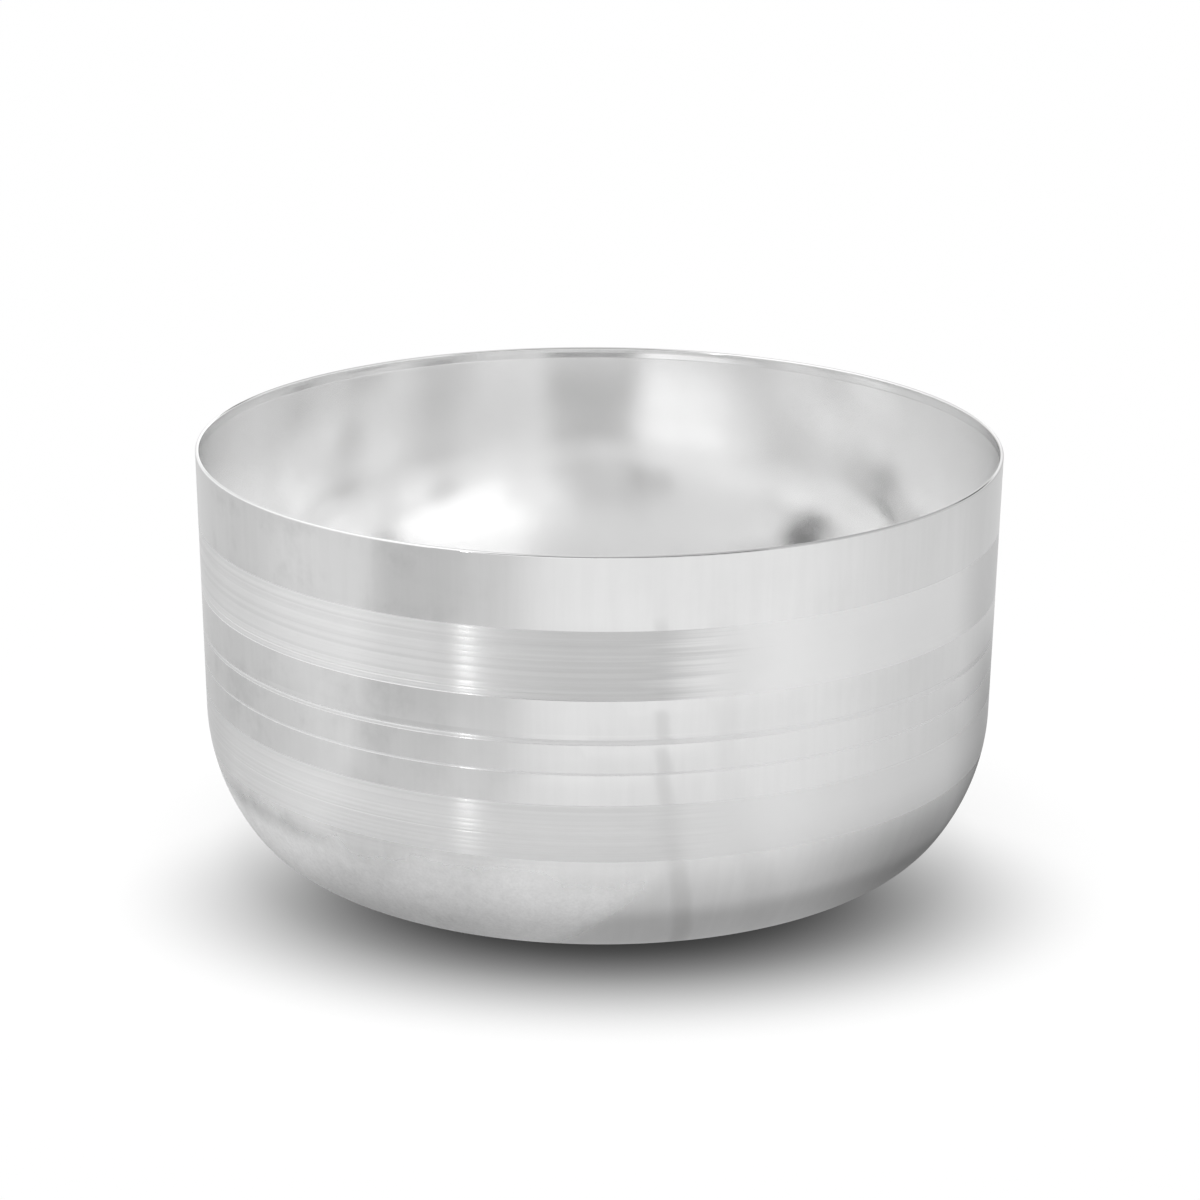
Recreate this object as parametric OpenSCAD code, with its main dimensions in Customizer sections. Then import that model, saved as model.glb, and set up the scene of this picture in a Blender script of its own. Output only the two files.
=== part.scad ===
// Offering bowl, spun from one sheet of silver.
// A straight, slightly leaning wall curves through a wide belly arc and a tighter heel arc
// into a flat base. Bands of fine lines are turned into the outside of the wall, and a
// thicker band stiffens the rim. Millimetres, +Z up, origin at the centre of the base.

/* [Body] */
// Outside diameter over the rim
rim_diameter = 90; // [80:1:110]
// Height from the base to the top of the rim
height = 46.9; // [44:0.1:60]
// Lean of the wall from the vertical, in degrees
wall_lean = 1.2; // [0.4:0.1:3]
// Outside radius of the wide arc below the wall
belly_radius = 22.4; // [20:0.2:25]
// Outside radius of the tight arc beside the base
heel_radius = 11.5; // [9:0.5:14]
// Slope of the surface where the two arcs meet, in degrees
heel_slope = 55; // [50:1:60]
// Thickness of the silver sheet
sheet = 0.6; // [0.5:0.05:0.75]

/* [Rim] */
// Thickness of the band that stiffens the rim
rim_thickness = 0.8; // [0.8:0.05:1.2]
// Height of that band, from its bevel to the top of the rim
rim_band_height = 1.3; // [1.2:0.1:2.5]

/* [Turned lines] */
// Width of one turned line at the surface
line_width = 0.3; // [0.2:0.02:0.4]
// Depth of one turned line
line_depth = 0.06; // [0.04:0.01:0.1]
// Distance between neighbouring lines of a band
line_pitch = 0.54; // [0.5:0.01:0.8]
// From the rim down to the first line of the upper band
upper_band_drop = 7.9; // [6:0.1:9]
// Height of the upper band
upper_band_height = 7.6; // [4:0.1:8]
// From the rim down to the first line of the narrow band
narrow_band_drop = 19.1; // [18:0.1:19.5]
// Height of the narrow band
narrow_band_height = 1.2; // [0.6:0.1:2]
// From the rim down to the single line
single_line_drop = 23.5; // [22.5:0.1:24.5]
// From the rim down to the first line of the lower band
lower_band_drop = 26.7; // [26:0.1:27.5]
// Height of the lower band
lower_band_height = 6.5; // [4:0.1:7]

/* [Hidden] */
$fn = 180;

rim_radius = rim_diameter / 2;
// Centre of the belly arc, and the height at which the wall springs from it
belly_centre_z = heel_radius * (1 - cos(heel_slope)) + belly_radius * cos(heel_slope);
wall_foot_z = belly_centre_z - belly_radius * sin(wall_lean);
wall_foot_radius = rim_radius - (height - wall_foot_z) * tan(wall_lean);
belly_centre_radius = wall_foot_radius - belly_radius * cos(wall_lean);
// Radius of the flat base, which is also where the heel arc has its centre
base_radius = belly_centre_radius + (belly_radius - heel_radius) * sin(heel_slope);
// What the rim band adds to the sheet, and its bevel is as high as that
rim_bevel = rim_thickness - sheet;

// A point on an arc, by the slope of the surface there
function on_arc(centre_radius, centre_z, radius, slope) =
    [centre_radius + radius * sin(slope), centre_z - radius * cos(slope)];

// Outside radius of the wall or of the belly at a height
function outside_radius(z) = z > wall_foot_z
    ? rim_radius - (height - z) * tan(wall_lean)
    : belly_centre_radius + sqrt(pow(belly_radius, 2) - pow(belly_centre_z - z, 2));

// Slice of a disc between two slopes, with its point at the disc's centre
module arc_slice(centre_radius, centre_z, radius, low_slope, high_slope) {
    reach = 2 * radius;
    intersection() {
        translate([centre_radius, centre_z]) circle(r = radius);
        polygon([
            [centre_radius, centre_z],
            on_arc(centre_radius, centre_z, reach, low_slope),
            on_arc(centre_radius, centre_z, reach, (low_slope + high_slope) / 2),
            on_arc(centre_radius, centre_z, reach, high_slope)
        ]);
    }
}

// Everything within the bowl's surface, moved inwards by an inset and closed off at top_z
module filled_outline(inset, top_z) {
    top_radius = rim_radius - (height - top_z) * tan(wall_lean) - inset / cos(wall_lean);
    wall_slope = 90 - wall_lean;
    polygon([
        [0, inset],
        on_arc(base_radius, heel_radius, heel_radius - inset, 0),
        on_arc(base_radius, heel_radius, heel_radius - inset, heel_slope),
        on_arc(belly_centre_radius, belly_centre_z, belly_radius - inset, wall_slope),
        [top_radius, top_z],
        [0, top_z]
    ]);
    arc_slice(base_radius, heel_radius, heel_radius - inset, 0, heel_slope);
    arc_slice(belly_centre_radius, belly_centre_z, belly_radius - inset, heel_slope, wall_slope);
}

// Half section of the sheet: base, heel, belly and wall
module sheet_section() {
    difference() {
        filled_outline(0, height - rim_thickness / 2);
        filled_outline(sheet, height);
    }
}

// Thicker band at the rim, bevelled below and fully round above
module rim_section() {
    band_radius = rim_radius - rim_thickness / 2;
    band_top = height - rim_thickness / 2;
    band_foot = height - rim_band_height;
    sheet_middle = outside_radius(band_foot) - sheet / 2;
    translate([band_radius, band_top]) circle(r = rim_thickness / 2);
    polygon([
        [band_radius - rim_thickness / 2, band_top],
        [band_radius - rim_thickness / 2, band_foot + rim_bevel],
        [sheet_middle - sheet / 2, band_foot],
        [sheet_middle, band_foot],
        [band_radius, band_top]
    ]);
}

// Grooves at equal steps down the wall, from a drop below the rim over a band's height
module turned_lines(drop, band_height) {
    steps = floor(band_height / line_pitch);
    for (step = [0 : steps]) {
        z = height - drop - step * line_pitch;
        r = outside_radius(z);
        polygon([
            [r - line_depth, z],
            [r + line_depth, z + line_width],
            [r + line_depth, z - line_width]
        ]);
    }
}

module bowl() {
    color("silver")
    rotate_extrude() {
        difference() {
            union() {
                sheet_section();
                rim_section();
            }
            turned_lines(upper_band_drop, upper_band_height);
            turned_lines(narrow_band_drop, narrow_band_height);
            turned_lines(single_line_drop, 0);
            turned_lines(lower_band_drop, lower_band_height);
        }
    }
}

bowl();
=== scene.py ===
# %% [markdown]
# A polished silver offering bowl on a white sweep.
# The real bowl is one disc of silver, spun over a form on a lathe. A steel tool then turned
# bands of fine lines into the outside, and the rim was thickened and rounded. Everything about
# it is round, so the mesh is drawn once as a half section and spun about the axis. The looks are
# mostly reflections: the metal itself is simple, and the studio around it does the work.

# %% Load the fixed frame
import math
import random
import bpy
from mathutils import Matrix, Vector


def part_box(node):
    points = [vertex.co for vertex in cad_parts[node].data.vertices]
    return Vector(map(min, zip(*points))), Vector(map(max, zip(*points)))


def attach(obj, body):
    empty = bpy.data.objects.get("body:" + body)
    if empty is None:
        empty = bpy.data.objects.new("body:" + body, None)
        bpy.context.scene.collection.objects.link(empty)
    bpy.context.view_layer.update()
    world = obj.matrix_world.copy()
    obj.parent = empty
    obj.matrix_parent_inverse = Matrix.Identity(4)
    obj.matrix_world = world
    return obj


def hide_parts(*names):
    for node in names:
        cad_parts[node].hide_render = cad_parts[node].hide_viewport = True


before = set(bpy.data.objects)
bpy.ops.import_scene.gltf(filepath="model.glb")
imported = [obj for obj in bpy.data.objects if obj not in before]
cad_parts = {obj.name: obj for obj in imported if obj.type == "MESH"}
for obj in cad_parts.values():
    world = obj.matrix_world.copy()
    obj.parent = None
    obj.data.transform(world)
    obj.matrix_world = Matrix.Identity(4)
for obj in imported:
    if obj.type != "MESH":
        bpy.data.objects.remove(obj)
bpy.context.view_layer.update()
MM = 0.001

# %% [markdown]
# The sizes of the bowl come first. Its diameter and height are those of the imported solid, and
# the rest repeats the construction's own values, so that the new mesh lies on the solid. Only
# the sheet and its rim are finer than the solid's, whose walls are kept thick enough to build
# with, because the photo shows a very thin edge.

# %% Sizes of the bowl
bowl_low, bowl_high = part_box("bowl")
rim_radius = (bowl_high[0] - bowl_low[0]) / 2
height = bowl_high[2] - bowl_low[2]
wall_lean = math.radians(1.2)
belly_radius = 22.4 * MM
heel_radius = 11.5 * MM
heel_slope = math.radians(55)
sheet = 0.36 * MM
rim_thickness = 0.44 * MM
rim_band_height = 1.3 * MM
rim_bevel = rim_thickness - sheet
wall_slope = math.pi / 2 - wall_lean

belly_centre_z = heel_radius * (1 - math.cos(heel_slope)) + belly_radius * math.cos(heel_slope)
wall_foot_z = belly_centre_z - belly_radius * math.sin(wall_lean)
wall_foot_radius = rim_radius - (height - wall_foot_z) * math.tan(wall_lean)
belly_centre_radius = wall_foot_radius - belly_radius * math.cos(wall_lean)
base_radius = belly_centre_radius + (belly_radius - heel_radius) * math.sin(heel_slope)
heel_top_z = heel_radius * (1 - math.cos(heel_slope))
print("flat base radius in mm", round(base_radius / MM, 2))


def outside_radius(z):
    """Outside radius of the wall or of the belly at a height."""
    if z > wall_foot_z:
        return rim_radius - (height - z) * math.tan(wall_lean)
    return belly_centre_radius + math.sqrt(belly_radius ** 2 - (belly_centre_z - z) ** 2)


def arc(centre_radius, centre_z, radius, first_slope, last_slope, steps):
    """Points along an arc of the section, by the slope of the surface there."""
    points = []
    for step in range(steps + 1):
        slope = first_slope + (last_slope - first_slope) * step / steps
        points.append((centre_radius + radius * math.sin(slope), centre_z - radius * math.cos(slope)))
    return points


# %% [markdown]
# The turned lines are real grooves in the section. Each one is a shallow round trough. Most of
# them barely mark the metal, and a few in each band are cut deep, as read off the photo: the
# numbers are drops below the rim in millimetres, each with its share of the full depth.

# %% Heights and depths of the turned lines
line_width = 0.3 * MM
line_depth = 0.045 * MM
upper_lines = (
    (8.1, 0.3), (8.6, 0.22), (9.3, 0.32), (10.15, 0.3), (10.8, 0.14), (11.4, 0.22), (12.35, 0.28),
    (13.1, 0.12), (14.0, 0.5), (14.72, 0.7), (15.4, 1.0))
narrow_lines = ((19.2, 0.15), (19.86, 0.8), (20.22, 0.75))
single_lines = ((23.5, 0.62),)
lower_lines = (
    (27.05, 0.24), (27.5, 0.28), (28.3, 0.1), (29.15, 0.26), (29.65, 0.34), (30.2, 0.24), (30.55, 0.55),
    (31.2, 0.24), (31.65, 0.26), (32.15, 0.4), (32.75, 0.24), (33.85, 0.34), (34.4, 0.22))
DEPTH_SPREAD = (0.9, 1.1)
WIDTH_SPREAD = (0.75, 1.0)
line_draw = random.Random(4)


def turned_lines(lines):
    """Height, depth and half width of each groove of a band, from the lowest up."""
    made = []
    for drop, share in reversed(lines):
        depth = line_depth * share * line_draw.uniform(*DEPTH_SPREAD)
        half = line_width / 2 * line_draw.uniform(*WIDTH_SPREAD)
        made.append((height - drop * MM, depth, half))
    return made


all_lines = []
for band in (lower_lines, single_lines, narrow_lines, upper_lines):
    all_lines += turned_lines(band)
print("turned lines:", len(all_lines))

# %% [markdown]
# The section starts at the middle of the underside, runs out along the flat, up the outside,
# over the rim and down the inside to the middle of the floor. Smooth stretches need few points,
# and each groove gets five.

# %% Outside of the half section
FLAT_SHARES = (0.0, 0.25, 0.6, 0.9)
TROUGH_SHARES = ((-1.0, 0.0), (-0.55, 0.7), (0.0, 1.0), (0.55, 0.7), (1.0, 0.0))
ARC_STEPS = 16
BELLY_STEPS = 12
TOP_STEPS = 5
WIDE_GAP = 0.6 * MM
POINT_GAP = 1.6 * MM


def outside_section():
    """Underside, heel, belly and wall with its grooves, up to where the rim starts to round."""
    points = [(base_radius * share, 0.0) for share in FLAT_SHARES]
    points += arc(base_radius, heel_radius, heel_radius, 0, heel_slope, ARC_STEPS)
    lowest_line = all_lines[0][0]
    for step in range(1, BELLY_STEPS):
        z = heel_top_z + (lowest_line - 2 * line_width - heel_top_z) * step / BELLY_STEPS
        points.append((outside_radius(z), z))
    last_z = points[-1][1]
    for z, depth, half in all_lines:
        gap = (z - half) - last_z
        if gap > WIDE_GAP:
            count = max(2, round(gap / POINT_GAP))
            for step in range(1, count):
                between = last_z + gap * step / count
                points.append((outside_radius(between), between))
        for offset, share in TROUGH_SHARES:
            here = z + offset * half
            points.append((outside_radius(here) - share * depth, here))
        last_z = z + half
    rim_start = height - rim_thickness / 2
    for step in range(1, TOP_STEPS):
        between = last_z + (rim_start - last_z) * step / TOP_STEPS
        points.append((outside_radius(between), between))
    return points


# %% Rim and inside of the half section
RIM_STEPS = 14
WALL_STEPS = 16
band_foot = height - rim_band_height


def rim_section():
    """Round top of the rim, from outside to inside, and the band and bevel below it."""
    half = rim_thickness / 2
    points = arc(rim_radius - half, height - half, half, wall_slope, 1.5 * math.pi, RIM_STEPS)
    band_inside = rim_radius - rim_thickness
    points.append((band_inside, (height - half + band_foot + rim_bevel) / 2))
    points.append((band_inside, band_foot + rim_bevel))
    points.append((outside_radius(band_foot) - sheet, band_foot))
    return points


def inside_section():
    """Wall, belly, heel and floor of the inside, from the rim band down to the middle."""
    points = []
    for step in range(1, WALL_STEPS):
        z = band_foot + (wall_foot_z - band_foot) * step / WALL_STEPS
        points.append((outside_radius(z) - sheet / math.cos(wall_lean), z))
    belly_inside = belly_radius - sheet
    points += arc(belly_centre_radius, belly_centre_z, belly_inside, wall_slope, heel_slope, ARC_STEPS)
    points += arc(base_radius, heel_radius, heel_radius - sheet, heel_slope, 0, ARC_STEPS)[1:]
    points += [(base_radius * share, sheet) for share in reversed(FLAT_SHARES)]
    return points


section = outside_section() + rim_section() + inside_section()
print("points in the section:", len(section))

# %% [markdown]
# The section is drawn as a person would draw it, by extruding one point along the outline, and
# is then spun through a full turn. The two ends lie on the axis, so the spin leaves a pile of
# points there, and the seam is doubled too: merging closes both.

# %% Spin the bowl
SPIN_STEPS = 256
MERGE_GAP = 0.002 * MM


def start_alone():
    """Leaves nothing selected, so that edit mode touches the new piece alone."""
    if bpy.context.object and bpy.context.object.mode != "OBJECT":
        bpy.ops.object.mode_set(mode="OBJECT")
    bpy.ops.object.select_all(action="DESELECT")


def spun_from(name, points, steps):
    """A closed mesh made by spinning a half section about the Z axis."""
    start_alone()
    bpy.ops.mesh.primitive_plane_add(size=MM, location=(0, 0, 0))
    piece = bpy.context.object
    piece.name = name
    bpy.ops.object.mode_set(mode="EDIT")
    bpy.ops.mesh.select_all(action="SELECT")
    bpy.ops.mesh.merge(type="CENTER")
    start = Vector((points[0][0], 0, points[0][1]))
    bpy.ops.transform.translate(value=start)
    for (r0, z0), (r1, z1) in zip(points, points[1:]):
        step = (r1 - r0, 0, z1 - z0)
        bpy.ops.mesh.extrude_region_move(TRANSFORM_OT_translate={"value": step})
    bpy.ops.mesh.select_all(action="SELECT")
    bpy.ops.mesh.spin(steps=steps, angle=2 * math.pi, center=(0, 0, 0), axis=(0, 0, 1))
    bpy.ops.mesh.select_all(action="SELECT")
    bpy.ops.mesh.remove_doubles(threshold=MERGE_GAP)
    bpy.ops.mesh.normals_make_consistent(inside=False)
    bpy.ops.object.mode_set(mode="OBJECT")
    return piece


bowl = spun_from("silver_bowl", section, SPIN_STEPS)
print("bowl faces:", len(bowl.data.polygons))

# %% [markdown]
# The bowl ran a little out of true on the lathe, so the tool cut deep on one side and hardly
# touched the other: in the photo the lines die away to the right. Each point in a groove is
# moved back out by what the tool missed there.

# %% Let the lines die away on one side
CUT_SIDE = math.radians(-55)
LEAST_CUT = 0.1
FADE_START, FADE_LENGTH = 0.03, 0.4
LINES_TOP_DROP, LINES_FOOT_DROP = 7.5 * MM, 35 * MM
LEAST_DEPTH, MOST_DEPTH = 0.0005 * MM, 1.2 * line_depth


def cut_share(azimuth):
    """Share of the full depth at an azimuth, which is 0 at the front and grows to the right."""
    away = (1 - math.cos(azimuth - CUT_SIDE)) / 2
    t = min(1.0, max(0.0, (away - FADE_START) / FADE_LENGTH))
    return 1 + (LEAST_CUT - 1) * t * t * (3 - 2 * t)


moved = 0
for point in bowl.data.vertices:
    x, y, z = point.co
    radius = math.hypot(x, y)
    if z > height - LINES_TOP_DROP or z < height - LINES_FOOT_DROP:
        continue
    depth = outside_radius(z) - radius
    if LEAST_DEPTH < depth < MOST_DEPTH:
        full = radius + depth * (1 - cut_share(math.atan2(x, -y)))
        point.co = (x * full / radius, y * full / radius, z)
        moved += 1
print("points moved out:", moved)

# %% [markdown]
# Smooth shading hides the facets of the spin, while the grooves and the bevel keep crisp edges
# where the surface really turns.

# %% Shade the bowl
CREASE_ANGLE = math.radians(16)
start_alone()
bowl.select_set(True)
bpy.context.view_layer.objects.active = bowl
bpy.ops.object.shade_smooth_by_angle(angle=CREASE_ANGLE)
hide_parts("bowl")
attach(bowl, "root")
print("bowl in mm", [round(size / MM, 2) for size in bowl.dimensions])

# %% [markdown]
# The finishes are nets of shader nodes, which are quickest to lay with a few helpers. Each one
# adds a node and gives every socket either a plain value or a link. What several finishes share,
# such as rings and smudges, becomes a shader group with its own inputs, built once.

# %% Helpers for shader nodes
NUMBER, ARROW = "NodeSocketFloat", "NodeSocketVector"
FLATTEN = (1, 1, 0)
NOISE_MIDDLE = 0.5


def give(tree, socket, value):
    """Links another socket to this one, or sets it to a plain value."""
    if isinstance(value, bpy.types.NodeSocket):
        tree.links.new(value, socket)
    else:
        socket.default_value = value


def add_node(tree, kind, settings=None, values=None):
    """One node with its settings, and with its sockets set or linked."""
    node = tree.nodes.new(kind)
    for key, value in (settings or {}).items():
        setattr(node, key, value)
    for key, value in (values or {}).items():
        give(tree, node.inputs[key], value)
    return node


def maths(tree, operation, first, second=0.0):
    """One math node. An argument is a socket or a number."""
    return add_node(tree, "ShaderNodeMath", {"operation": operation}, {0: first, 1: second}).outputs[0]


def vectors(tree, operation, first, values=None):
    """One vector math node, with its other sockets set or linked."""
    node = add_node(tree, "ShaderNodeVectorMath", {"operation": operation}, {0: first, **(values or {})})
    return node.outputs["Value" if operation in ("LENGTH", "DOT_PRODUCT") else "Vector"]


def stretched(tree, value, low, high, first=0.0, last=1.0, course="SMOOTHSTEP"):
    """A value that runs from first to last while the given one runs from low to high."""
    ends = {"Value": value, "From Min": low, "From Max": high, "To Min": first, "To Max": last}
    return add_node(tree, "ShaderNodeMapRange", {"interpolation_type": course}, ends).outputs["Result"]


def noise_at(tree, place, scale, detail, roughness):
    """Soft noise round its middle of a half. A noise is given as its scale, detail and roughness."""
    values = {"Vector": place, "Scale": scale, "Detail": detail, "Roughness": roughness}
    return add_node(tree, "ShaderNodeTexNoise", None, values).outputs["Fac"]


def own_place(tree):
    """Where a point lies on its own piece."""
    return add_node(tree, "ShaderNodeTexCoord").outputs["Object"]


def height_of(tree, place):
    """Height of a place."""
    return add_node(tree, "ShaderNodeSeparateXYZ", None, {"Vector": place}).outputs["Z"]


def grey(tree, level):
    """A colour without hue."""
    channels = dict.fromkeys(("Red", "Green", "Blue"), level)
    return add_node(tree, "ShaderNodeCombineColor", None, channels).outputs[0]


def new_group(name, inputs, outputs):
    """An empty shader group with named sockets."""
    group = bpy.data.node_groups.new(name, "ShaderNodeTree")
    for socket, kind, value in inputs:
        group.interface.new_socket(socket, in_out="INPUT", socket_type=kind).default_value = value
    for socket in outputs:
        group.interface.new_socket(socket, in_out="OUTPUT", socket_type=NUMBER)
    given, result = group.nodes.new("NodeGroupInput"), group.nodes.new("NodeGroupOutput")
    print("group", name, "with inputs", [socket for socket, kind, value in inputs])
    return group, given.outputs, result.inputs


def group_node(tree, group, values=None):
    """A shader group placed in a material, with its own values."""
    return add_node(tree, "ShaderNodeGroup", {"node_tree": group}, values).outputs


def around(azimuth, elevation, distance):
    """A place seen from the bowl: azimuth 0 is towards the camera and grows to its right."""
    a, e = math.radians(azimuth), math.radians(elevation)
    return Vector((math.sin(a) * math.cos(e), -math.cos(a) * math.cos(e), math.sin(e))) * distance


# %% [markdown]
# A bowl that turns on a lathe keeps the path of whatever touched it, as rings round its axis. A
# wave texture would repeat, so the rings come from noise that is squeezed along the section and
# hardly changes along a ring. Distance from the axis is added to height, so that the rings also
# run on across the flat base and floor.

# %% Group: rings left by turning and buffing
RING_NOISE = (1.0, 2.0, 0.6)


def make_ring_group():
    """Fine rings round the axis, broken up slowly along each ring."""
    group, given, result = new_group(
        "turning_rings", [("Rings per mm", NUMBER, 4.0), ("Break up", NUMBER, 0.1)], ["Height"])
    place = own_place(group)
    flat = vectors(group, "MULTIPLY", place, {1: FLATTEN})
    along = maths(group, "ADD", height_of(group, place), vectors(group, "LENGTH", flat))
    fast = maths(group, "MULTIPLY", maths(group, "MULTIPLY", along, 1 / MM), given["Rings per mm"])
    slow = vectors(group, "SCALE", vectors(group, "NORMALIZE", flat), {"Scale": given["Break up"]})
    lift = add_node(group, "ShaderNodeCombineXYZ", None, {"Z": fast}).outputs[0]
    give(group, result["Height"], noise_at(group, vectors(group, "ADD", slow, {1: lift}), *RING_NOISE))
    return group


ring_group = make_ring_group()

# %% [markdown]
# Several things hold for one side of the bowl only: where the tool cut, where hands touched it,
# where shade is painted on the bowl, and which part of the floor carries painted shade. All of
# them are a wedge round the axis with soft edges, so one group works out a wedge, and each use
# says where it lies, in degrees.

# %% Group: a soft wedge round the axis
def make_wedge_group():
    """From 1 in the open to 1 - Depth in the middle of a wedge round the Z axis."""
    group, given, result = new_group(
        "soft_wedge",
        [("Direction", ARROW, (0, -1, 0)), ("Cosine of edge", NUMBER, 0.9), ("Softness", NUMBER, 0.1),
         ("Depth", NUMBER, 0.3), ("Near", NUMBER, 1.0), ("Far", NUMBER, 2.0)], ["Light"])
    flat = vectors(group, "MULTIPLY", own_place(group), {1: FLATTEN})
    cosine = vectors(group, "DOT_PRODUCT", vectors(group, "NORMALIZE", flat), {1: given["Direction"]})
    low = maths(group, "SUBTRACT", given["Cosine of edge"], given["Softness"])
    high = maths(group, "ADD", given["Cosine of edge"], given["Softness"])
    inside = stretched(group, cosine, low, high, 0.0, given["Depth"])
    reach = stretched(group, vectors(group, "LENGTH", flat), given["Near"], given["Far"], 1.0, 0.0)
    give(group, result["Light"], maths(group, "SUBTRACT", 1.0, maths(group, "MULTIPLY", inside, reach)))
    return group


wedge_group = make_wedge_group()


def cosine_of(angle):
    """Cosine of an angle in degrees, which is kept between 0 and a half turn."""
    return math.cos(math.radians(min(180, max(0, angle))))


def wedge(tree, azimuth, half_angle, softness, depth, near=1.0, far=2.0):
    """What a wedge leaves of the light. It fades out from near to far, in metres from the axis."""
    inner, outer = cosine_of(half_angle - softness), cosine_of(half_angle + softness)
    return group_node(tree, wedge_group, {
        "Direction": around(azimuth, 0, 1), "Cosine of edge": (inner + outer) / 2,
        "Softness": (inner - outer) / 2, "Depth": depth, "Near": near, "Far": far})["Light"]


# %% [markdown]
# Hands and polishing cloths leave soft cloudy patches in the shine. Noise gives the clouds, and
# a threshold says how much of the metal they cover.

# %% Group: smudges from handling and buffing
CLOUD_DETAIL, CLOUD_ROUGHNESS = 4.0, 0.62
CLOUD_EDGE = (-0.1, 0.25)


def make_smudge_group():
    """Soft cloudy patches, from 0 where clean to 1 where dulled."""
    group, given, result = new_group(
        "handling_smudges", [("Patches per metre", NUMBER, 60.0), ("Threshold", NUMBER, 0.5)], ["Mask"])
    clouds = noise_at(group, own_place(group), given["Patches per metre"], CLOUD_DETAIL, CLOUD_ROUGHNESS)
    above = maths(group, "SUBTRACT", clouds, given["Threshold"])
    give(group, result["Mask"], stretched(group, above, *CLOUD_EDGE))
    return group


smudge_group = make_smudge_group()

# %% [markdown]
# Low on the left, the polishing wheel never reached: the forming left a grainy skin there, whose
# paleness is partly its own and partly painted light, with a ragged edge that slants up to the
# side. A mask gives its place, from the direction and the height of a point, and noise frays its
# edge. Mottle and grain give the skin its own look.

# %% Group: skin left by the forming, where the polishing stopped
SLANT_FOOT, SLANT = 6 * MM, 17.2
SKIN_EDGE = (0.725, 0.79)
SKIN_FADE = 6 * MM
FRAY_ROUND, FRAY_UP = 0.08, 8 * MM
EDGE_NOISE = (120.0, 4.0, 0.6)
MOTTLE_NOISE, MOTTLE_ENDS = (900.0, 4.0, 0.7), (0.35, 0.7)
GRAIN_NOISE = (3200.0, 2.0, 0.6)


def make_skin_group():
    """A ragged patch low on one side, with its mottle and grain, all from 0 to 1."""
    group, given, result = new_group(
        "unpolished_skin", [("Direction", ARROW, (0, -1, 0)), ("Top", NUMBER, 12 * MM)],
        ["Mask", "Mottle", "Grain"])
    place = own_place(group)
    up = height_of(group, place)
    unit = vectors(group, "NORMALIZE", vectors(group, "MULTIPLY", place, {1: FLATTEN}))
    towards = vectors(group, "DOT_PRODUCT", unit, {1: given["Direction"]})
    wander = maths(group, "SUBTRACT", noise_at(group, place, *EDGE_NOISE), NOISE_MIDDLE)
    slant = maths(group, "MULTIPLY", maths(group, "SUBTRACT", up, SLANT_FOOT), SLANT)
    frayed = maths(group, "ADD", slant, maths(group, "MULTIPLY", wander, FRAY_ROUND))
    reach = maths(group, "ADD", towards, frayed)
    above = maths(group, "SUBTRACT", given["Top"], up)
    below_top = maths(group, "ADD", above, maths(group, "MULTIPLY", wander, FRAY_UP))
    give(group, result["Mask"], maths(
        group, "MULTIPLY", stretched(group, reach, *SKIN_EDGE), stretched(group, below_top, 0.0, SKIN_FADE)))
    mottle = noise_at(group, place, *MOTTLE_NOISE)
    give(group, result["Mottle"], stretched(group, mottle, *MOTTLE_ENDS, course="LINEAR"))
    give(group, result["Grain"], noise_at(group, place, *GRAIN_NOISE))
    return group


skin_group = make_skin_group()

# %% [markdown]
# The last wipe with a cloth goes up and down the wall. Its streaks are noise that is drawn out
# upwards and changes quickly round the bowl.

# %% Group: upright streaks left by wiping
STREAK_CHANGES_PER_METRE = 60.0
STREAK_NOISE, STREAK_ENDS = (1.0, 3.0, 0.6), (0.35, 0.65)


def make_streak_group():
    """Faint upright streaks, from 0 to 1, that fade in and out along their height."""
    group, given, result = new_group("wiping_streaks", [("Streaks round", NUMBER, 40.0)], ["Streak"])
    place = own_place(group)
    unit = vectors(group, "NORMALIZE", vectors(group, "MULTIPLY", place, {1: FLATTEN}))
    spread = vectors(group, "SCALE", unit, {"Scale": given["Streaks round"]})
    rise = maths(group, "MULTIPLY", height_of(group, place), STREAK_CHANGES_PER_METRE)
    lift = add_node(group, "ShaderNodeCombineXYZ", None, {"Z": rise}).outputs[0]
    streak = noise_at(group, vectors(group, "ADD", spread, {1: lift}), *STREAK_NOISE)
    give(group, result["Streak"], stretched(group, streak, *STREAK_ENDS, course="LINEAR"))
    return group


streak_group = make_streak_group()

# %% [markdown]
# In the turned bands the tool left satin metal with lines far finer than the grooves of the
# mesh, and towards the right it stopped cutting, ring by ring, so the bands end ragged. The
# fine lines change the tone and not the normal, because bumps of that size flicker when they
# are rendered. Roughness stays the same along a band: only its tone goes over into that of the
# uncut metal, since a sliding roughness shows as a false edge.

# %% Group: bands cut by the turning tool
RAGGED = 1.6
CUT_EDGE = (0.1, 0.9)
HAIRLINE_SHARE = 0.7


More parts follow.
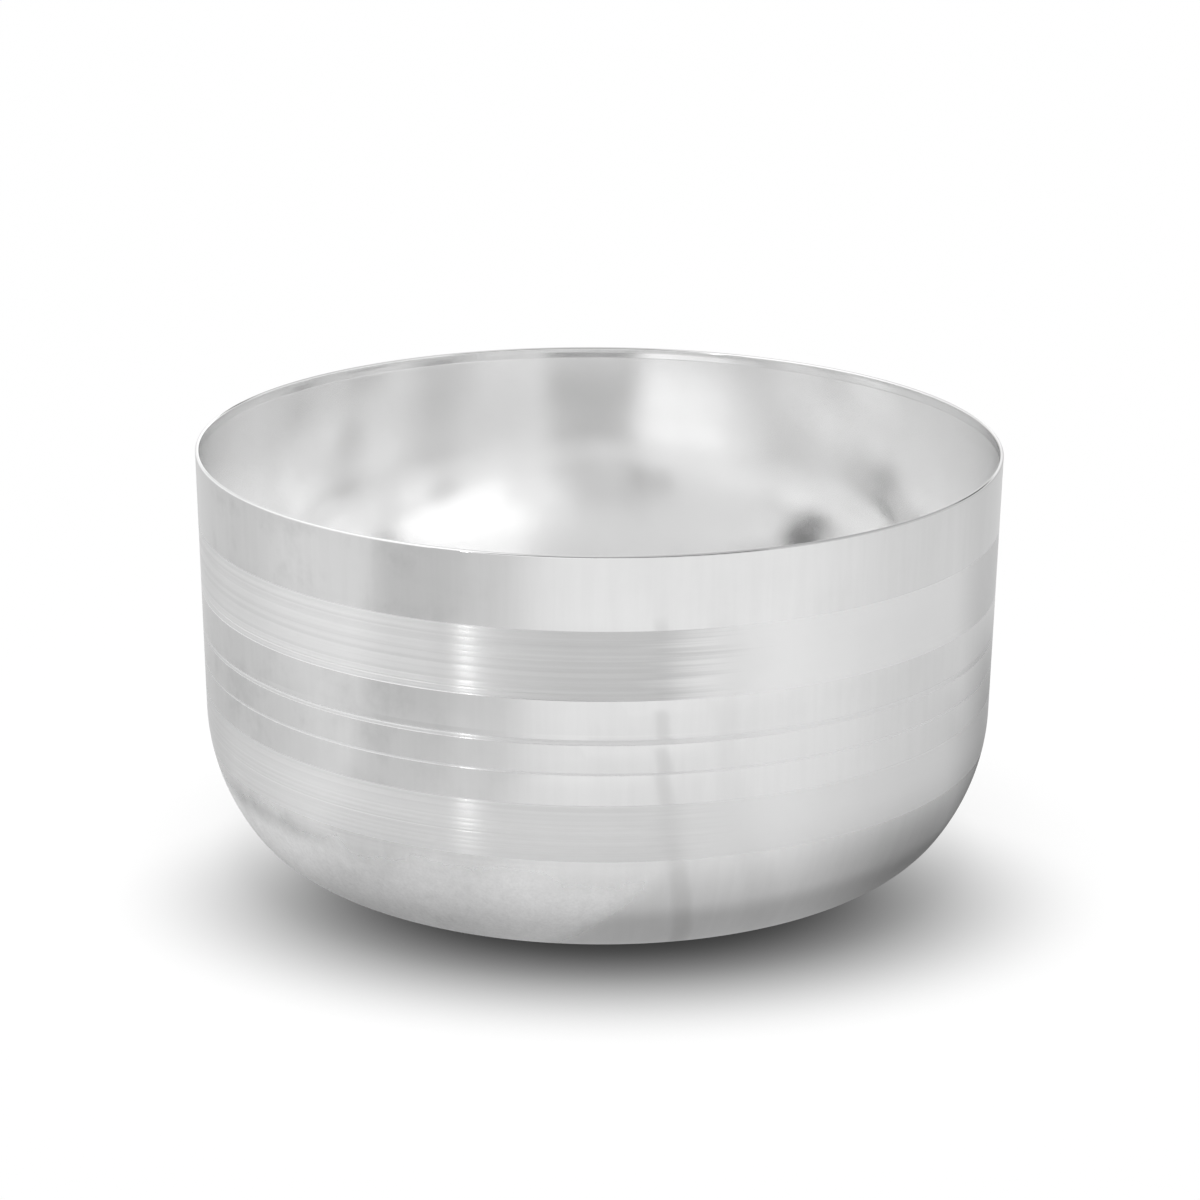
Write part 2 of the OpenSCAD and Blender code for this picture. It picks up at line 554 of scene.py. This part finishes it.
def make_band_group():
    """Tone of a turned band, and its lines, which both end where the tool stopped cutting."""
    group, given, result = new_group(
        "turned_band",
        [("Touched", NUMBER, 1.0), ("Coarse rings", NUMBER, 0.5), ("Fine rings", NUMBER, 0.5),
         ("Cut tone", NUMBER, 0.8), ("Uncut tone", NUMBER, 0.8), ("Line depth", NUMBER, 0.1)],
        ["Tone", "Lines"])
    coarse = maths(group, "SUBTRACT", given["Coarse rings"], NOISE_MIDDLE)
    fine = maths(group, "SUBTRACT", given["Fine rings"], NOISE_MIDDLE)
    ragged = maths(group, "ADD", given["Touched"], maths(group, "MULTIPLY", coarse, RAGGED))
    cut = stretched(group, ragged, *CUT_EDGE)
    change = maths(group, "SUBTRACT", given["Cut tone"], given["Uncut tone"])
    tone = maths(group, "ADD", maths(group, "MULTIPLY", cut, change), given["Uncut tone"])
    lines = maths(group, "ADD", coarse, maths(group, "MULTIPLY", fine, HAIRLINE_SHARE))
    deep_lines = maths(group, "MULTIPLY", lines, given["Line depth"])
    give(group, result["Tone"], tone)
    give(group, result["Lines"], maths(group, "MULTIPLY", deep_lines, cut))
    return group


band_group = make_band_group()

# %% [markdown]
# One silver, six finishes. The plain stretches were buffed to a mirror, the bands left satin by
# the tool, the narrow band and the lower one cut more lightly. The inside was buffed with a wheel
# that left soft rings, the rim rubbed round by hand, and the underside is worn by the shelf. All
# of them are fully metallic, and differ in tone, roughness and marks. The next functions add one
# kind of mark each.

# %% Marks of the turning tool, and painted shade on the bands
# each wedge: azimuth of its middle, half angle, softness, depth
UNTOUCHED = (104, 92, 11, 1.0)
# painted shade: the bands are darker towards both sides of the bowl
PAINTED_SIDE_SHADES = ((90, 22, 11, 0.24), (-90, 22, 6, 0.08))
# the painted shade in front takes its depth from the finish
PAINTED_FRONT_SHADE = (6, 15, 8)
COARSE_RINGS = {"Rings per mm": 1.7, "Break up": 0.5}
FINE_RINGS = {"Rings per mm": 3.6, "Break up": 0.4}


def turned(tree, tone, depth, front, uncut):
    """Tone and lines of a band, with painted shade in front and at both sides of the bowl."""
    band = group_node(tree, band_group, {
        "Touched": wedge(tree, *UNTOUCHED),
        "Coarse rings": group_node(tree, ring_group, COARSE_RINGS)["Height"],
        "Fine rings": group_node(tree, ring_group, FINE_RINGS)["Height"],
        "Cut tone": maths(tree, "MULTIPLY", wedge(tree, *PAINTED_FRONT_SHADE, front), tone),
        "Uncut tone": uncut, "Line depth": depth})
    tone = band["Tone"]
    for side_shade in PAINTED_SIDE_SHADES:
        tone = maths(tree, "MULTIPLY", wedge(tree, *side_shade), tone)
    return tone, band["Lines"]


# %% Marks of hands and cloths, and painted shade above the skin
CLOUDED = (-54, 34, 14, 1.0)
CLOUDS = {"Patches per metre": 170.0, "Threshold": 0.55}
CLOUD_DEPTH = 0.11
# painted shade: a dark band on the polished wall just above the skin's upper edge
SHADED_ABOVE_SKIN = (-56, 10, 9, 0.18)
SHADE_BAND_HEIGHT, SHADE_BAND_HALF = 11.6 * MM, 2.3 * MM


def handled(tree, shade, streaks):
    """Clouds on one side, and upright streaks all round."""
    side = maths(tree, "SUBTRACT", 1.0, wedge(tree, *CLOUDED))
    clouds = maths(tree, "MULTIPLY", group_node(tree, smudge_group, CLOUDS)["Mask"], side)
    shade = maths(tree, "SUBTRACT", shade, maths(tree, "MULTIPLY", clouds, CLOUD_DEPTH))
    streak = maths(tree, "SUBTRACT", group_node(tree, streak_group)["Streak"], NOISE_MIDDLE)
    return maths(tree, "ADD", shade, maths(tree, "MULTIPLY", streak, streaks))


def with_shade_band(tree, shade, mask):
    """A band of painted shade along the upper edge of the skin."""
    off = maths(tree, "SUBTRACT", height_of(tree, own_place(tree)), SHADE_BAND_HEIGHT)
    frayed = maths(tree, "ADD", maths(tree, "ABSOLUTE", off), maths(tree, "MULTIPLY", mask, SHADE_BAND_HALF / 2))
    along = maths(tree, "SUBTRACT", 1.0, wedge(tree, *SHADED_ABOVE_SKIN))
    shade_band = maths(tree, "MULTIPLY", stretched(tree, frayed, 0.0, SHADE_BAND_HALF, 1.0, 0.0), along)
    return maths(tree, "SUBTRACT", shade, shade_band)


# %% Marks of the forming, and painted light on the skin
SKIN_PLACE = {"Direction": around(-40, 0, 1), "Top": 14.5 * MM}
# the skin's lift in tone is partly its own colour and partly painted light over the dark floor it reflects
SKIN_PALE_AND_PAINTED_LIGHT, SKIN_MOTTLE, SKIN_GRAIN = 0.14, 0.06, 0.17


def unpolished(tree, shade, rough, skin):
    """Paler, grainy and rough where the forming left its skin; the lift in tone is partly its own colour and
    partly painted light.
    """
    cast = group_node(tree, skin_group, SKIN_PLACE)
    pale_and_painted_light = maths(tree, "SUBTRACT", SKIN_PALE_AND_PAINTED_LIGHT, maths(tree, "MULTIPLY", cast["Mottle"], SKIN_MOTTLE))
    specks = maths(tree, "MULTIPLY", maths(tree, "SUBTRACT", cast["Grain"], NOISE_MIDDLE), SKIN_GRAIN)
    for change in (pale_and_painted_light, specks):
        shade = maths(tree, "ADD", shade, maths(tree, "MULTIPLY", cast["Mask"], change))
    return shade, maths(tree, "ADD", rough, maths(tree, "MULTIPLY", cast["Mask"], skin))


# %% [markdown]
# A finish starts from its tone and roughness, and its marks are added one after another. The
# grain of turned metal spreads a reflection across the lines, which is what the anisotropic
# setting with a radial tangent does: it draws the lamp out into an upright streak.

# %% One finish
SMUDGE_TONE_SHARE = 0.6
RING_BREAK_UP = 0.6
ACROSS_THE_LINES = 0.25


def make_silver(name, tone, roughness, dulled, rings, band=None, skin=0.0, streaks=0.0, side=None):
    """Silver with rings in its normal, and with its marks in its colour and roughness.

    Rings are given as their number per mm and their height. A band is given as its line depth,
    how much painted shade darkens it in front, and the tone of its uncut part. A side is a wedge
    of painted shade."""
    material = bpy.data.materials.new(name)
    material.use_nodes = True
    tree = material.node_tree
    shader = tree.nodes["Principled BSDF"].inputs
    shader["Metallic"].default_value = 1.0
    mask = group_node(tree, smudge_group)["Mask"]
    rough = maths(tree, "ADD", maths(tree, "MULTIPLY", mask, dulled), roughness)
    if band:
        tone, lines = turned(tree, tone, *band)
    if side:
        tone = maths(tree, "MULTIPLY", wedge(tree, *side), tone)
    shade = maths(tree, "SUBTRACT", tone, maths(tree, "MULTIPLY", mask, dulled * SMUDGE_TONE_SHARE))
    if band:
        shade = maths(tree, "ADD", shade, lines)
        shader["Anisotropic"].default_value = 1.0
        shader["Anisotropic Rotation"].default_value = ACROSS_THE_LINES
        tangent = add_node(tree, "ShaderNodeTangent", {"direction_type": "RADIAL", "axis": "Z"})
        give(tree, shader["Tangent"], tangent.outputs["Tangent"])
    if streaks:
        shade = with_shade_band(tree, handled(tree, shade, streaks), mask)
    if skin:
        shade, rough = unpolished(tree, shade, rough, skin)
    density, depth = rings
    height_map = group_node(tree, ring_group, {"Rings per mm": density, "Break up": RING_BREAK_UP})["Height"]
    bump = add_node(tree, "ShaderNodeBump", None, {"Strength": 1.0, "Distance": depth, "Height": height_map})
    give(tree, shader["Roughness"], rough)
    give(tree, shader["Base Color"], grey(tree, shade))
    give(tree, shader["Normal"], bump.outputs["Normal"])
    return material


# %% The six finishes
# name, tone, roughness, how much the smudges dull it, rings, and its own marks
POLISHED, SATIN, BUFFED, RIM, WORN, LIGHT_SATIN = range(6)
TOOL_RINGS = (5.0, 0.003 * MM)
# painted shade on the rim's right half, which reflects less of the light from the left
PAINTED_RIM_SHADE = (52, 42, 12, 0.34)
# the outside's tones lie well under the inside's, partly as painted shade for the darker floor that the
# outside reflects
FINISHES = [
    make_silver("polished_silver", 0.77, 0.06, 0.06, (1.2, 0.0004 * MM), skin=0.42, streaks=0.02),
    make_silver("satin_turned_silver", 0.86, 0.29, 0.02, TOOL_RINGS, band=(0.16, 0.29, 0.85)),
    make_silver("buffed_inside_silver", 0.96, 0.12, 0.04, (0.7, 0.0008 * MM)),
    make_silver("rim_silver", 0.88, 0.07, 0.05, (2.0, 0.0003 * MM), side=PAINTED_RIM_SHADE),
    make_silver("worn_underside_silver", 0.80, 0.28, 0.15, (3.0, 0.003 * MM), skin=0.2),
    make_silver("lightly_turned_silver", 0.83, 0.29, 0.02, TOOL_RINGS, band=(0.14, 0.12, 0.79)),
]
for finish in FINISHES:
    bowl.data.materials.append(finish)
print("finishes:", [finish.name for finish in FINISHES])

# %% [markdown]
# Each face takes its finish from where it lies on the section: the rim band, the inside, the
# underside, or a drop below the rim that falls in one of the turned bands.

# %% Give each zone its finish
# drops below the rim in millimetres where each turned band starts and ends
SATIN_DROPS = (
    (7.85, 15.6, SATIN), (19.62, 20.42, LIGHT_SATIN), (23.38, 23.62, LIGHT_SATIN), (26.6, 33.1, LIGHT_SATIN))
satin_zones = [(height - last * MM, height - first * MM, finish) for first, last, finish in SATIN_DROPS]
WORN_REACH = 1.02 * base_radius
INSIDE_FLOOR = 0.6 * sheet


def finish_at(radius, z):
    """Index of the finish at a place on the section."""
    if z <= heel_top_z:
        heel_middle = base_radius + math.sqrt(max((heel_radius - sheet / 2) ** 2 - (heel_radius - z) ** 2, 0))
        if z > INSIDE_FLOOR and radius < heel_middle:
            return BUFFED
        return WORN if radius < WORN_REACH else POLISHED
    inside = radius < outside_radius(z) - sheet / 2
    if z > height - rim_thickness / 2 or (z > band_foot and inside):
        return RIM
    if inside:
        return BUFFED
    for low, high, finish in satin_zones:
        if low < z < high:
            return finish
    return POLISHED


counts = [0] * len(FINISHES)
for face in bowl.data.polygons:
    x, y, z = face.center
    face.material_index = finish_at(math.hypot(x, y), z)
    counts[face.material_index] += 1
print("faces of each finish:", {finish.name: count for finish, count in zip(FINISHES, counts)})

# %% [markdown]
# The studio. Polished silver has hardly a look of its own: it shows the room. The plain wall
# looks down on the floor round the bowl, the bands look both down and up, and the inside shows
# the upper room two to five times over. So the floor, the lamps and the cards are placed for
# what they do in the metal. Light dies after four mirror bounces in Blender's usual settings,
# which would leave black corners inside the bowl, so more are allowed.

# %% Allow enough mirror bounces for the inside
MIRROR_BOUNCES = 24
bpy.context.scene.cycles.max_bounces = MIRROR_BOUNCES
bpy.context.scene.cycles.glossy_bounces = MIRROR_BOUNCES
print("mirror bounces:", MIRROR_BOUNCES)

# %% [markdown]
# The floor is a matte white sweep. Soft wedges of painted shade lie in its tone where the silver
# looks at it, and the camera never sees them. Each wedge of painted shade is the wedge group once
# more. A negative depth makes its part lighter, as painted light.

# %% Painted shade on the floor, seen only by the silver
# azimuth, half angle to the middle of its soft edge, half width of that edge, depth, and where it
# ends in sight of the silver: the distances from the axis at which it starts to fade and is gone
# each row is a wedge of painted shade in the floor's tone, and a negative depth is painted light
PAINTED_FLOOR_SHADES = (
    (-80, 62, 18, 0.17),
    (-37, 18, 6, 0.13),
    (-45, 9, 7, 0.11),
    (-74, 14, 8, 0.075, 0.085, 0.12),
    (-130, 34, 14, 0.16),
    (-110, 40, 20, 0.15, 0.05, 0.16),
    (-50, 26, 10, -0.09, 0.09, 0.13),
    (14.6, 1.2, 1.1, 0.13, 0.13, 0.17),
    (29.5, 2.5, 2, 0.04, 0.13, 0.18),
    (50, 70, 30, 0.12, 0.06, 0.15),
    (90, 38, 22, 0.45, 0.04, 0.078),
    (140, 70, 30, 0.22),
    (160, 45, 12, 0.14),
    (160, 45, 12, 0.19, 0.09, 0.125),
    (150, 50, 16, 0.45, 0.05, 0.11),
)


def painted_floor_shade(tree):
    """What the painted shade leaves of the floor's white, as the silver sees it."""
    light = 1.0
    for floor_shade_wedge in PAINTED_FLOOR_SHADES:
        light = maths(tree, "MULTIPLY", wedge(tree, *floor_shade_wedge), light)
    return light


print("painted_floor_shades:", len(PAINTED_FLOOR_SHADES))

# %% [markdown]
# What the camera sees of the floor is white, with a soft oval pool of shade under the bowl. One
# lamp gives only a part of that pool, so its oval lies in the floor's own tone as well.

# %% Pool of shade under the bowl
POOL_MIDDLE = (1.3 * MM, -19.5 * MM, 0)
POOL_HALF = (41.6 * MM, 30 * MM)
POOL_EDGE = (0.43, 1.36)
POOL_TONE = 0.055


def pooled(tree):
    """Tone of the floor in the pool and round it, as the camera sees it."""
    from_middle = vectors(tree, "SUBTRACT", own_place(tree), {1: POOL_MIDDLE})
    oval = vectors(tree, "MULTIPLY", from_middle, {1: (1 / POOL_HALF[0], 1 / POOL_HALF[1], 0)})
    return stretched(tree, vectors(tree, "LENGTH", oval), *POOL_EDGE, POOL_TONE, 1.0)


print("pool of shade in mm:", [round(2 * half * POOL_EDGE[1] / MM) for half in POOL_HALF])

# %% [markdown]
# A plain white floor renders a little grey, because no lamp lights it evenly. So some of its
# light is a glow instead, mixed in with the matte white, and the camera and the silver each see
# their own share of it. To all other light the floor stays plain matte.

# %% Floor that is white to the camera and to the silver
FLOOR_WHITE = 0.98
LIT_SHARE = 0.85
MIRRORED_SHARE = 0.3
SWEEP_SIZE = 12
SWEEP_DROP = 0.02 * MM


def bare_material(name):
    """A material whose net is still empty."""
    material = bpy.data.materials.new(name)
    material.use_nodes = True
    material.node_tree.nodes.clear()
    return material


def seen_in_silver(tree, path):
    """1 for a ray that a mirror has sent on, and 0 for any other."""
    return maths(tree, "MAXIMUM", path["Is Glossy Ray"], path["Is Transmission Ray"])


def make_floor_material():
    """A matte white, lifted to full white where the camera or the silver looks at it."""
    material = bare_material("white_sweep")
    tree = material.node_tree
    path = add_node(tree, "ShaderNodeLightPath").outputs
    mirrored = seen_in_silver(tree, path)
    # the silver sees the floor with its painted wedges of shade, and the camera sees it with the pool
    levels = {"Factor": mirrored, "A": pooled(tree), "B": painted_floor_shade(tree)}
    level = add_node(tree, "ShaderNodeMix", {"data_type": "FLOAT"}, levels).outputs["Result"]
    tone = grey(tree, maths(tree, "MULTIPLY", level, FLOOR_WHITE))
    matte = add_node(tree, "ShaderNodeBsdfDiffuse", None, {"Color": tone}).outputs[0]
    glow = add_node(tree, "ShaderNodeEmission", None, {"Color": grey(tree, level)}).outputs[0]
    to_camera = maths(tree, "MULTIPLY", path["Is Camera Ray"], LIT_SHARE)
    share = maths(tree, "MAXIMUM", to_camera, maths(tree, "MULTIPLY", mirrored, MIRRORED_SHARE))
    both = add_node(tree, "ShaderNodeMixShader", None, {0: share, 1: matte, 2: glow})
    add_node(tree, "ShaderNodeOutputMaterial", None, {"Surface": both.outputs[0]})
    return material


start_alone()
bpy.ops.mesh.primitive_plane_add(size=SWEEP_SIZE, location=(0, 0, -SWEEP_DROP))
floor = bpy.context.object
floor.name = "floor"
floor.data.materials.append(make_floor_material())

# %% [markdown]
# One broad lamp overhead lights the floor and casts a real part of the tight shadow under the
# bowl, and the rest of it is painted shade in the floor's tone. Mirrors would show the lamp as a
# hot disc, so it is hidden from them.

# %% Overhead light
LAMP_AZIMUTH, LAMP_ELEVATION = -150, 86
LAMP_STRENGTH = 0.88 * math.pi
LAMP_SPREAD = math.radians(34)


def turned_away(place):
    """Rotation that points a piece's Z axis from the bowl to its place."""
    return place.to_track_quat("Z", "Y").to_euler()


lamp_data = bpy.data.lights.new("overhead", "SUN")
lamp_data.energy = LAMP_STRENGTH
lamp_data.angle = LAMP_SPREAD
lamp = bpy.data.objects.new("overhead", lamp_data)
bpy.context.scene.collection.objects.link(lamp)
lamp.rotation_euler = turned_away(around(LAMP_AZIMUTH, LAMP_ELEVATION, 1))
lamp.visible_glossy = False
print("lamp strength:", round(LAMP_STRENGTH, 2))

# %% [markdown]
# What the silver does show are cards, plain glowing planes that nothing but silver sees. Wide
# ones stand in for the windows and walls of a room, dark ones give the metal its contrast, and
# a narrow bright one is the strip lamp that draws the light streak across the bands.

# %% A glow that only the silver sees
def only_for_silver(piece, level, deepest=None):
    """Gives a stage piece a plain glow that reflections see and that neither lights nor shades.

    A lamp that is far brighter than white would break up into sparks where the inside shows it
    several times over, so past its deepest reflection it is only white."""
    material = bare_material(piece.name)
    tree = material.node_tree
    glow = add_node(tree, "ShaderNodeEmission", None, {"Color": (1, 1, 1, 1), "Strength": level})
    if deepest:
        path = add_node(tree, "ShaderNodeLightPath").outputs
        shallow = maths(tree, "LESS_THAN", path["Ray Depth"], deepest + 1)
        above_white = maths(tree, "MULTIPLY", shallow, level - 1)
        give(tree, glow.inputs["Strength"], maths(tree, "ADD", above_white, 1.0))
    add_node(tree, "ShaderNodeOutputMaterial", None, {"Surface": glow.outputs[0]})
    piece.data.materials.append(material)
    piece.visible_camera = False
    piece.visible_diffuse = False
    piece.visible_shadow = False


# %% Cards round the bowl
# name, azimuth, elevation, width and height in degrees as seen from the bowl, level with white
# as 1, distance in metres, and for the lamp its deepest reflection
CARDS = (
    ("window_on_the_left", -82, 57.5, 72, 35, 1.25, 1.3),
    ("low_window_on_the_left", -85, 33.5, 78, 14, 1.3, 1.3),
    ("strip_lamp", -35.7, 9, 1.6, 14, 10.5, 1.15, 2),
    ("dark_card_by_the_strip", -41.2, 9, 8, 14, 0.35, 1.14),
    ("pale_card_behind_left", -133, 42, 34, 44, 0.95, 1.45),
    ("grey_card_in_front", -5, 54, 62, 36, 0.4, 1.4),
    ("dark_card_in_front", -4, 27.5, 50, 17, 0.3, 1.38),
    ("pale_card_on_the_right", 46, 45, 36, 50, 0.85, 1.5),
    ("dark_stand_on_the_right", 38, 35, 19, 22, 0.03, 1.2),
    ("dark_stand_behind", 147.5, 26.8, 24, 11, 0.03, 1.2),
    ("grey_card_behind", 172, 38.5, 34, 21, 0.58, 1.35),
    ("low_window_behind", 165, 19.5, 40, 13, 1.3, 1.3),
)


def length_of(angle, distance):
    """Length that fills an angle in degrees at a distance."""
    return 2 * distance * math.tan(math.radians(angle / 2))


def add_card(name, azimuth, elevation, wide, tall, level, distance, deepest=None):
    """One card facing the bowl."""
    place = around(azimuth, elevation, distance)
    start_alone()
    bpy.ops.mesh.primitive_plane_add(size=1, location=place, rotation=turned_away(place))
    made = bpy.context.object
    made.scale = (length_of(wide, distance), length_of(tall, distance), 1)
    made.name = name
    only_for_silver(made, level, deepest)


for card in CARDS:
    add_card(*card)
print("cards:", len(CARDS))

# %% [markdown]
# Over all of it hangs a grey tent. It is a sphere cut open below 20 degrees, where the silver
# sees the white of the room instead.

# %% Tent
TENT_RADIUS = 1.8
TENT_LEVEL = 0.75
tent_foot = TENT_RADIUS * math.sin(math.radians(20))

start_alone()
bpy.ops.mesh.primitive_uv_sphere_add(segments=48, ring_count=36, radius=TENT_RADIUS, location=(0, 0, 0))
tent = bpy.context.object
tent.name = "grey_tent"
bpy.ops.object.mode_set(mode="EDIT")
bpy.ops.mesh.select_all(action="SELECT")
bpy.ops.mesh.bisect(plane_co=(0, 0, tent_foot), plane_no=(0, 0, 1), clear_inner=True)
bpy.ops.object.mode_set(mode="OBJECT")
only_for_silver(tent, TENT_LEVEL)
print("tent starts at a height in metres of", round(tent_foot, 2))

# %% [markdown]
# The world is the white of the room beyond the tent. The camera and the silver see it at full
# white, but it lights the rest only weakly, so that it doesn't wash out the shade on the floor.

# %% World
ROOM_LIGHT, ROOM_WHITE = 0.14, 1.0


def fill_world(tree):
    """A plain white that is bright to look at and weak as a light."""
    tree.nodes.clear()
    path = add_node(tree, "ShaderNodeLightPath").outputs
    seen = maths(tree, "MAXIMUM", path["Is Camera Ray"], seen_in_silver(tree, path))
    levels = {"Factor": seen, "A": ROOM_LIGHT, "B": ROOM_WHITE}
    level = add_node(tree, "ShaderNodeMix", {"data_type": "FLOAT"}, levels).outputs["Result"]
    room = add_node(tree, "ShaderNodeBackground", None, {"Color": (1, 1, 1, 1), "Strength": level})
    add_node(tree, "ShaderNodeOutputWorld", None, {"Surface": room.outputs[0]})


world = bpy.data.worlds.new("studio")
bpy.context.scene.world = world
world.use_nodes = True
fill_world(world.node_tree)
print("room light:", ROOM_LIGHT)

# %% [markdown]
# The camera stands nine and a half rim radii from the middle of the rim and looks down on it
# by 15 degrees. It is aimed a little low, and rolled by under half a degree, as in the photo.

# %% Camera
SENSOR = 36.0
PHOTO_SIZE = 1200
FOCAL_PIXELS = 3820
NEAREST_SEEN = 10 * MM
camera_distance = 9.5 * rim_radius
camera_elevation = math.radians(14.96)
camera_pitch = math.radians(17.34)
camera_roll = math.radians(0.4)
camera_right = 0.18 * MM
camera_back = camera_distance * math.cos(camera_elevation)
camera_rise = camera_distance * math.sin(camera_elevation)

camera_data = bpy.data.cameras.new("photo_camera")
camera_data.sensor_width = SENSOR
camera_data.lens = FOCAL_PIXELS / PHOTO_SIZE * SENSOR
camera_data.clip_start = NEAREST_SEEN
camera = bpy.data.objects.new("photo_camera", camera_data)
bpy.context.scene.collection.objects.link(camera)
camera.location = (camera_right, -camera_back, height + camera_rise)
tilt = Matrix.Rotation(math.pi / 2 - camera_pitch, 3, "X")
camera.rotation_euler = (tilt @ Matrix.Rotation(camera_roll, 3, "Z")).to_euler()
bpy.context.scene.camera = camera
bpy.context.scene.view_settings.view_transform = "Standard"
print("camera lens in mm", round(camera_data.lens, 1))
